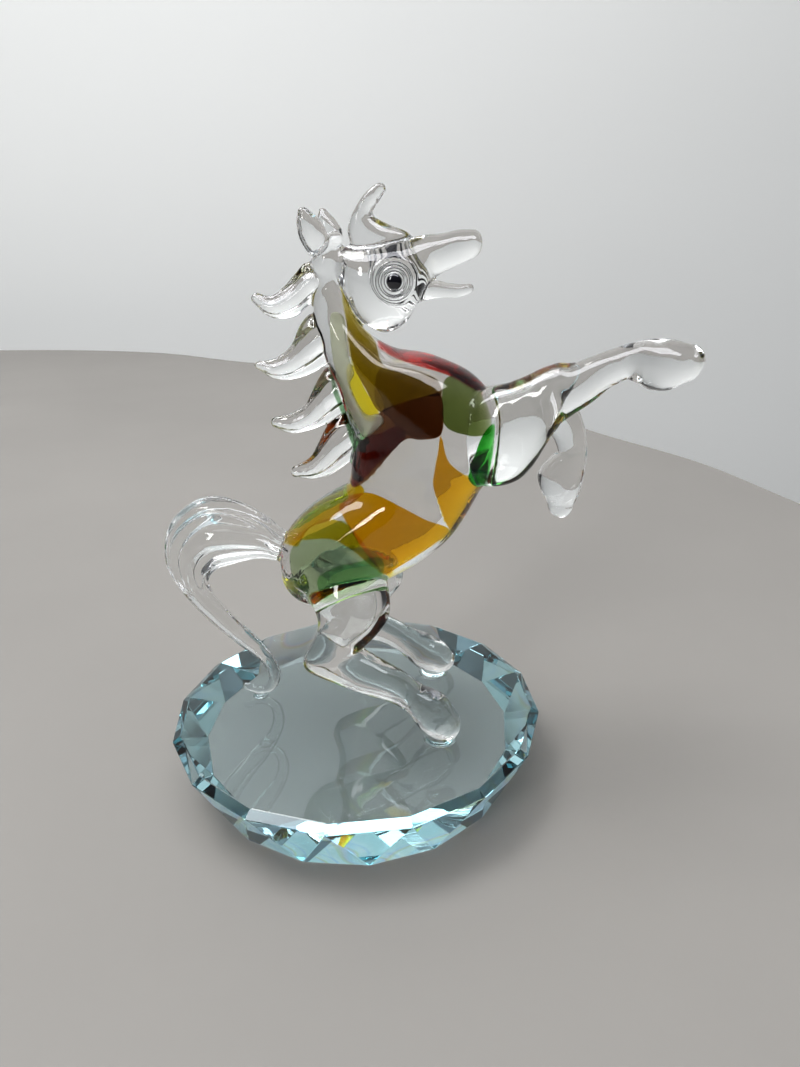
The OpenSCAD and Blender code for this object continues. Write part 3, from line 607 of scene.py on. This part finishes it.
VOXEL = 0.24
horse_v, horse_f = remeshed(np.concatenate(all_v), all_f, VOXEL)
horse_v = smoothed(horse_v, horse_f, 14)
horse_v += vertex_normals(horse_v, horse_f) * ripple(horse_v)[:, None]
horse_v[:, 2] = np.maximum(horse_v[:, 2], BASE_H + 0.02)
horse_n = vertex_normals(horse_v, horse_f)
quads = np.array(horse_f)
mids = horse_v[quads].mean(1)

best = np.full(len(quads), 1e9)
label = np.zeros(len(quads), int)
for i, (node, tree, lo, hi) in enumerate(parts):
    for k in np.nonzero(((mids > lo) & (mids < hi)).all(1))[0]:
        hit = tree.find_nearest(Vector(mids[k]))
        if hit[3] is not None and hit[3] < best[k]:
            best[k] = hit[3]
            label[k] = i


def neighbours(q):
    """Pairs of faces that share an edge."""
    e = edge_pairs(q)
    owner = np.tile(np.arange(len(q)), 4)
    key = np.sort(e, 1)
    key = key[:, 0].astype(np.int64) * (q.max() + 1) + key[:, 1]
    order = np.argsort(key, kind="stable")
    k, o = key[order], owner[order]
    same = k[1:] == k[:-1]
    return np.stack([o[:-1][same], o[1:][same]], 1)


pairs = neighbours(quads)
both = np.concatenate([pairs, pairs[:, ::-1]])
count = len(parts)
for r in range(10):
    votes = np.zeros((len(quads), count))
    np.add.at(votes, (both[:, 0], label[both[:, 1]]), 1.0)
    votes[np.arange(len(quads)), label] += 1.5
    label = votes.argmax(1)
for r in range(4):  # small islands go to whatever surrounds them
    comp = np.arange(len(quads))
    inside = pairs[label[pairs[:, 0]] == label[pairs[:, 1]]]
    while True:
        low = np.minimum(comp[inside[:, 0]], comp[inside[:, 1]])
        before = comp.copy()
        np.minimum.at(comp, inside[:, 0], low)
        np.minimum.at(comp, inside[:, 1], low)
        comp = comp[comp]
        if (comp == before).all():
            break
    size = np.bincount(comp, minlength=len(quads))
    largest = np.zeros(count, int)
    np.maximum.at(largest, label, size[comp])
    stray = size[comp] < largest[label]
    if not stray.any():
        break
    votes = np.zeros((len(quads), count))
    ok = stray[both[:, 0]] & ~stray[both[:, 1]]
    np.add.at(votes, (both[ok, 0], label[both[ok, 1]]), 1.0)
    move = stray & (votes.sum(1) > 0)
    label[move] = votes[move].argmax(1)


def cut_out(i):
    """The faces with label i, closed by fans over their open borders."""
    f = quads[label == i]
    used, inv = np.unique(f, return_inverse=True)
    f = inv.reshape(-1, 4)
    v, n = horse_v[used], horse_n[used]
    there = set(map(tuple, edge_pairs(f)))
    rim = [(a, b) for a, b in there if (b, a) not in there]
    group = {}

    def root(a):
        while group.setdefault(a, a) != a:
            a = group[a]
        return a

    for a, b in rim:
        group[root(a)] = root(b)
    rings = {}
    for a, b in rim:
        rings.setdefault(root(a), []).append((a, b))
    caps, extra = [], []
    for key in sorted(rings):
        edges = rings[key]
        c = v[sorted({a for a, b in edges})].mean(0)
        extra.append(c)
        k = len(v) + len(extra) - 1
        caps += sorted((b, a, k) for a, b in edges)
    if extra:
        v = np.concatenate([v, np.array(extra)])
        n = np.concatenate([n, np.zeros((len(extra), 3))])
    return v, [tuple(x) for x in f], caps, n


for i, (node, tree, lo, hi) in enumerate(parts):
    v, outer, caps, n = cut_out(i)
    ob = piece("glass_" + node, v, outer + caps, EYE.get(node, GLASS),
               (node,))
    me = ob.data
    me.materials.append(joint)
    idx = np.zeros(len(me.polygons), np.int32)
    idx[len(outer):] = 1
    me.polygons.foreach_set("material_index", idx)
    loops = []
    for p in me.polygons:
        if p.material_index == 0:
            loops += [tuple(n[k]) for k in p.vertices]
        else:
            loops += [tuple(p.normal)] * len(p.vertices)
    me.normals_split_custom_set(loops)
    me.update()

# ---------------------------------------------------------------- coloured cores

FRONT_Y = -8.5  # in front of the body's nearest glass
SKIN = BVHTree.FromPolygons([Vector(v) for v in horse_v], horse_f)


def sight_lines(outline):
    """Where the sight lines of an outline drawn on the middle plane run in the glass.

    The rounded body bends sight lines, so the sheets of colour follow them, and each
    colour is seen where its outline was drawn.
    """
    mid = np.mean(outline, 0)
    far_off = 12  # a hit this far from the middle plane isn't on the body
    starts, way = [], []
    for x, z in outline:
        for k in range(30):  # a point drawn outside the glass is drawn in to its edge
            q = np.array([x, z]) + (mid - [x, z]) * k * 0.03
            aim = (Vector((q[0], 0, q[1] + BASE_H)) - CAMERA).normalized()
            hit, _, face, _ = SKIN.ray_cast(CAMERA, aim)
            if hit is None or abs(hit.y) > far_off:
                continue
            n = Vector(horse_n[list(horse_f[face])].mean(0)).normalized()
            c = -n.dot(aim)
            if c < 0.25:
                continue
            r = 1 / GLASS_INDEX
            inward = r * aim + (r * c - math.sqrt(1 - r * r * (1 - c * c))) * n
            break
        starts.append(hit)
        way.append(inward / inward.y)
    starts, way = np.array(starts), np.array(way)
    for r in range(6):
        way = (np.roll(way, 1, 0) + 2 * way + np.roll(way, -1, 0)) / 4
    return starts, way


def prism(outline, y0, y1):
    """The space behind an outline, from y0 to y1: (vertices, faces)."""
    p = dense(outline, 6, closed=True)
    if np.sum(p[:, 0] * np.roll(p[:, 1], -1) - np.roll(p[:, 0], -1) * p[:, 1]) < 0:
        p = p[::-1]
    n = len(p)
    starts, way = sight_lines(p)
    v = [tuple(a + w * (y - a[1])) for y in (y0, y1) for a, w in zip(starts, way)]
    f = [tuple(range(n)), tuple(range(2 * n - 1, n - 1, -1))]
    f += [(j, n + j, n + (j + 1) % n, (j + 1) % n) for j in range(n)]
    return np.array(v), f


def core(name, outline, material, nodes=(), y1=3.0, fill=0.93, voxel=0.3):
    """The part of the body's inside behind an outline, as far back as y1.

    fill is how much of the body's section the core may take up.
    """
    v, f = loft(shrunk(BODY, fill), 64, 6, 1.0, 1.0)
    inner = bpy.data.objects.new("inner", raw_mesh("inner", v + [0, 0, BASE_H], f))
    pv, pf = prism(outline, FRONT_Y, y1)
    tool = bpy.data.objects.new("tool", raw_mesh("tool", pv, pf))
    for o in (inner, tool):
        bpy.context.collection.objects.link(o)
        bm = bmesh.new()
        bm.from_mesh(o.data)
        bmesh.ops.recalc_face_normals(bm, faces=bm.faces)
        bm.to_mesh(o.data)
        bm.free()
    b = inner.modifiers.new("b", "BOOLEAN")
    b.operation = "INTERSECT"
    b.object = tool
    b.solver = "EXACT"
    v, f = evaluated(inner)
    if not f:  # the sheet crosses itself somewhere
        b.use_self = True
        v, f = evaluated(inner)
    for o in (inner, tool):
        bpy.data.objects.remove(o)
    v, f = remeshed(v, f, voxel)
    v = smoothed(v, f, 4)
    return piece(name, v, f, material, nodes)


def thread(name, stations, material, nodes=()):
    """A drawn thread of coloured glass along its own stations."""
    v, f = loft(stations, 40, 8, 1.0, 1.0)
    v, f = remeshed(v + [0, 0, BASE_H], f, 0.15)
    return piece(name, smoothed(v, f, 4), f, material, nodes)


def opal(name, colour, shows):
    """Milky coloured glass thread: part clear, part lit from within its own depth."""
    m, nodes, links = new_material(name)
    out = add(nodes, "ShaderNodeOutputMaterial")
    p = add(nodes, "ShaderNodeBsdfPrincipled")
    p.inputs["Roughness"].default_value = 0.1
    p.inputs["IOR"].default_value = SAME_INDEX
    p.inputs["Transmission Weight"].default_value = shows
    no = add(nodes, "ShaderNodeTexNoise")
    no.inputs["Scale"].default_value = 260
    ramp = add(nodes, "ShaderNodeValToRGB")
    ramp.color_ramp.elements[0].color = (*[c * 0.92 for c in colour], 1)
    ramp.color_ramp.elements[1].color = (*colour, 1)
    links.new(no.outputs["Fac"], ramp.inputs["Fac"])
    links.new(ramp.outputs[0], p.inputs["Base Color"])
    links.new(p.outputs[0], out.inputs["Surface"])
    return m


PALE = opal("pale_opal_glass", (0.93, 0.95, 0.78), 0.55)


def stained(name, shows, depth):
    """Coloured glass that lets through the given share of light over a depth in metres."""
    k = [-math.log(c) / depth for c in shows]
    return core_glass(name, [1 - c / max(k) for c in k], max(k))


OLIVE = stained("olive_amber_glass", (0.40, 0.28, 0.01), 0.006)
YELLOW = stained("bright_yellow_glass", (0.95, 0.80, 0.03), 0.006)
RUBY = stained("ruby_glass", (0.72, 0.018, 0.008), 0.0022)
DARK_RUBY = stained("dark_ruby_glass", (0.17, 0.055, 0.008), 0.009)
RED_TIP = stained("ruby_tip_glass", (0.45, 0.03, 0.02), 0.008)
SMOKE_BROWN = stained("smoke_brown_glass", (0.50, 0.42, 0.30), 0.010)
GREEN = stained("green_glass", (0.02, 0.36, 0.02), 0.007)
OLIVE_GREEN = stained("olive_green_glass", (0.24, 0.30, 0.10), 0.008)
HAUNCH = stained("haunch_green_glass", (0.50, 0.62, 0.40), 0.010)
LEAF = stained("leaf_green_glass", (0.36, 0.70, 0.34), 0.009)
AMBER = stained("amber_glass", (0.78, 0.38, 0.002), 0.011)
RUMP = stained("golden_glass", (0.84, 0.58, 0.012), 0.007)
RIM_AMBER = stained("rim_amber_glass", (0.72, 0.32, 0.01), 0.002)
NIGHT = stained("dark_green_glass", (0.03, 0.10, 0.03), 0.004)

core("core_olive_neck", OLIVE_NECK, OLIVE, ("core_neck",), 2.0)
core("core_pale_band", PALE_BAND, PALE, (), 1.5)
core("core_yellow_band", YELLOW_BAND, YELLOW, (), 2.0)
thread("core_dark_line", NECK_LINE, NIGHT)
thread("core_ruby_chest", RUBY_BAND, RUBY, ("core_ruby",))
core("core_ruby_withers", RUBY_DIAG, DARK_RUBY)
core("core_ruby_tip", RUBY_TIP, RED_TIP, (), 2.0, 0.90)
core("core_smoke", SMOKE, SMOKE_BROWN, (), 1.0, 0.88)
core("core_olive_shoulder", OLIVE_SHOULDER, OLIVE_GREEN)
core("core_green_shoulder", DEEP_GREEN, GREEN, ("core_shoulder",), 3.0, 0.96)
core("core_amber_front", AMBER_FRONT, AMBER)
core("core_amber_belly", AMBER_BELLY, AMBER, ("core_barrel",))
core("core_golden_rump", YELLOW_RUMP, RUMP)
core("core_green_haunch", GREEN_HAUNCH, HAUNCH, ("core_haunch",))
core("core_golden_streak", STREAK, RUMP, (), 0.0, 0.86)
core("core_leaf_haunch", LEAF_HAUNCH, LEAF, (), 1.0, 0.86)
core("core_amber_rim", RIM, RIM_AMBER, (), 2.0, 0.97, 0.2)

# ---------------------------------------------------------------- eyes


def lathe(profile, sides=64):
    """Closed surface of revolution about local +Z from (radius, height) points."""
    pts = dense(profile, 5)
    rows = [p for p in pts if p[0] > 1e-4]
    v, f = [], []
    for r, h in rows:
        for j in range(sides):
            a = 2 * math.pi * j / sides
            v.append((r * math.cos(a), r * math.sin(a), h))
    w = len(rows)
    for i in range(w - 1):
        for j in range(sides):
            k = (j + 1) % sides
            f.append((i * sides + j, i * sides + k, (i + 1) * sides + k,
                      (i + 1) * sides + j))
    f.append(tuple(range(sides - 1, -1, -1)))
    f.append(tuple((w - 1) * sides + j for j in range(sides)))
    return np.array(v), f


def turned_to(v, side, place):
    """Turns a lathe's +Z outwards along Y and carries it to its place."""
    out = np.stack([v[:, 0], side * v[:, 2], v[:, 1] * side * -1], 1)
    return out + place


for side, word in ((-1, "right"), (1, "left")):
    v, f = lathe([(0.05, -0.5), (0.7, -0.4), (0.97, -0.1), (1.0, 0.15), (0.85, 0.42),
                  (0.45, 0.58), (0.05, 0.62)], 48)
    place = np.array([EYE_X, side * 5.3, EYE_Z + BASE_H])
    piece("pupil_glass_" + word, turned_to(v, side, place), f, black,
          ("pupil_" + word,))

# ---------------------------------------------------------------- bonds and base

for word, x, y, r in (("right", 13.2, -10.6, 2.5), ("left", 13.2, 8.6, 2.5),
                      ("tail", -16.4, 2.7, 1.3)):
    v, f = lathe([(0.05, 0.0), (r * 0.8, 0.0), (r, 0.03), (r * 0.86, 0.16),
                  (r * 0.74, 0.42), (r * 0.5, 0.5), (0.05, 0.5)], 48)
    piece("bond_" + word, v + [x, y, BASE_H], f, BOND, ("pad_" + word,))

n = 16  # corners of the base, with a foot corner below the middle of each side
TABLE_R, FOOT_R, BEVEL_H, TURN = 28.65, 25.05, 0.9, math.radians(-28.5)
a = np.arange(n) * 2 * math.pi / n + TURN


def corners(angles, r, z):
    """Points of a ring of radius r at height z."""
    return np.stack([r * np.cos(angles), r * np.sin(angles), angles * 0 + z], 1)


top = corners(a, TABLE_R, BASE_H)
girdle = corners(a, BASE_R, BASE_H - BEVEL_H)
foot = corners(a + math.pi / n, FOOT_R, 0.0)
faces = [tuple(range(n)), tuple(2 * n + j for j in range(n - 1, -1, -1))]
for j in range(n):
    k = (j + 1) % n
    faces.append((j, n + j, n + k, k))
    faces.append((n + j, 2 * n + j, n + k))
    faces.append((2 * n + j, 2 * n + k, n + k))
base = piece("crystal_base", np.concatenate([top, girdle, foot]), faces, CRYSTAL,
             ("base_disc",), smooth=False)
bm = bmesh.new()
bm.from_mesh(base.data)
bmesh.ops.recalc_face_normals(bm, faces=bm.faces)
bmesh.ops.bevel(bm, geom=bm.edges[:], offset=0.00009, segments=1, affect="EDGES")
bm.to_mesh(base.data)
bm.free()

# ---------------------------------------------------------------- stage


def plain(name, colour, low, scale, glow=0):
    """Matt stage material: soft blotches between low times the colour and the colour."""
    m, nodes, links = new_material(name)
    out = add(nodes, "ShaderNodeOutputMaterial")
    p = add(nodes, "ShaderNodeBsdfPrincipled")
    p.inputs["Roughness"].default_value = 0.75
    p.inputs["Specular IOR Level"].default_value = 0.2
    no = add(nodes, "ShaderNodeTexNoise")
    no.inputs["Scale"].default_value = scale
    no.inputs["Detail"].default_value = 6
    ramp = add(nodes, "ShaderNodeValToRGB")
    ramp.color_ramp.elements[0].color = (*[c * low for c in colour], 1)
    ramp.color_ramp.elements[1].color = (*colour, 1)
    links.new(no.outputs["Fac"], ramp.inputs["Fac"])
    links.new(ramp.outputs[0], p.inputs["Base Color"])
    links.new(ramp.outputs[0], p.inputs["Emission Color"])
    p.inputs["Emission Strength"].default_value = glow
    links.new(p.outputs[0], out.inputs["Surface"])
    return m


def slab(name, verts, material):
    """One flat face of the stage."""
    me = raw_mesh(name, verts, [tuple(range(len(verts)))])
    me.materials.append(material)
    ob = bpy.data.objects.new(name, me)
    bpy.context.collection.objects.link(ob)
    return ob


FLOOR = plain("floor_grey", (0.30, 0.288, 0.272), 0.84, 14)
WALL = plain("wall_white", (0.70, 0.71, 0.705), 0.96, 12, 0.36)
FLOOR_Z, WALL_Y = -0.0002, 0.62
table = dense([(-270, 461), (-157, 434), (-82, 385), (10, 340), (60, 265), (87, 206),
               (115, 159), (132, 110), (165, 20), (210, -120), (230, -350), (100, -700),
               (-500, -750), (-900, -200), (-800, 300), (-450, 460)], 8, closed=True)
slab("floor", [(x * MM, y * MM, FLOOR_Z) for x, y in table[::-1]], FLOOR)
slab("wall", [(-1.8, WALL_Y, -0.9), (1.8, WALL_Y, -0.9), (1.8, WALL_Y, 1.3),
              (-1.8, WALL_Y, 1.3)], WALL)

world = bpy.data.worlds.new("studio")
bpy.context.scene.world = world
world.use_nodes = True
wn, wl = world.node_tree.nodes, world.node_tree.links
wn.clear()
w_out = wn.new("ShaderNodeOutputWorld")
w_bg = wn.new("ShaderNodeBackground")
w_co = wn.new("ShaderNodeTexCoord")
w_sep = wn.new("ShaderNodeSeparateXYZ")
wl.new(w_co.outputs["Generated"], w_sep.inputs[0])
w_up = wn.new("ShaderNodeValToRGB")
wl.new(w_sep.outputs["Z"], w_up.inputs["Fac"])
e = w_up.color_ramp.elements
e[0].position, e[0].color = 0.0, (0.07, 0.07, 0.072, 1)
e[1].position, e[1].color = 1.0, (0.85, 0.88, 0.95, 1)
for spot, c in ((0.30, (0.16, 0.16, 0.17)), (0.52, (0.24, 0.245, 0.26)),
                (0.62, (0.70, 0.73, 0.80))):
    e.new(spot).color = (*c, 1)
w_side = wn.new("ShaderNodeMapRange")
w_side.inputs["From Min"].default_value = -0.6
w_side.inputs["From Max"].default_value = 0.5
w_side.inputs["To Min"].default_value = 0.55
w_side.inputs["To Max"].default_value = 1.0
wl.new(w_sep.outputs["Y"], w_side.inputs["Value"])
w_mul = wn.new("ShaderNodeVectorMath")
w_mul.operation = "SCALE"
wl.new(w_up.outputs[0], w_mul.inputs[0])
wl.new(w_side.outputs[0], w_mul.inputs["Scale"])
wl.new(w_mul.outputs[0], w_bg.inputs["Color"])
w_bg.inputs["Strength"].default_value = 0.62
wl.new(w_bg.outputs[0], w_out.inputs["Surface"])


LAMP_AIM = Vector((0, 0, 0.05))


def softbox(name, place, size, power, colour=(1, 1, 1)):
    """A rectangular lamp that faces the figurine."""
    li = bpy.data.lights.new(name, "AREA")
    li.shape = "RECTANGLE"
    li.size, li.size_y = size
    li.energy = power
    li.color = colour
    ob = bpy.data.objects.new(name, li)
    bpy.context.collection.objects.link(ob)
    ob.location = place
    ob.rotation_euler = (LAMP_AIM - Vector(place)).to_track_quat("-Z", "Y").to_euler()
    return ob


key = softbox("overhead_key", (-0.15, -0.10, 1.0), (1.3, 1.1), 10)
key.visible_glossy = False
sky = softbox("sky_window", (-0.30, 0.05, 0.75), (0.40, 0.25), 3)
front = softbox("front_window", (-0.35, -0.55, 0.40), (0.08, 0.35), 1.4)
sheen = softbox("sky_strip", (-0.1, -0.25, 0.9), (1.8, 0.36), 17, (0.93, 0.94, 1.0))
sheen.visible_diffuse = False
for lamp in (sky, front, sheen):  # seen as highlights on the glass, not through it
    lamp.visible_transmission = False

# ---------------------------------------------------------------- camera

cam = bpy.data.cameras.new("camera")
cam.sensor_width = 36
cam.lens = 27.0253
cam.clip_start = 0.005
cam_ob = bpy.data.objects.new("camera", cam)
bpy.context.collection.objects.link(cam_ob)
TILT_DOWN, ROLL = math.radians(22.3), math.radians(-1.6)
cam_ob.matrix_world = (Matrix.Translation(CAMERA * MM)
                       @ Matrix.Rotation(math.pi / 2 - TILT_DOWN, 4, "X")
                       @ Matrix.Rotation(ROLL, 4, "Z"))
bpy.context.scene.camera = cam_ob

sc = bpy.context.scene
sc.cycles.max_bounces = 32
sc.cycles.transmission_bounces = 32
sc.cycles.glossy_bounces = 12
sc.cycles.transparent_max_bounces = 64
sc.view_settings.view_transform = "Standard"
sc.view_settings.gamma = 0.86
sc.view_settings.exposure = 0.1

bpy.context.view_layer.update()
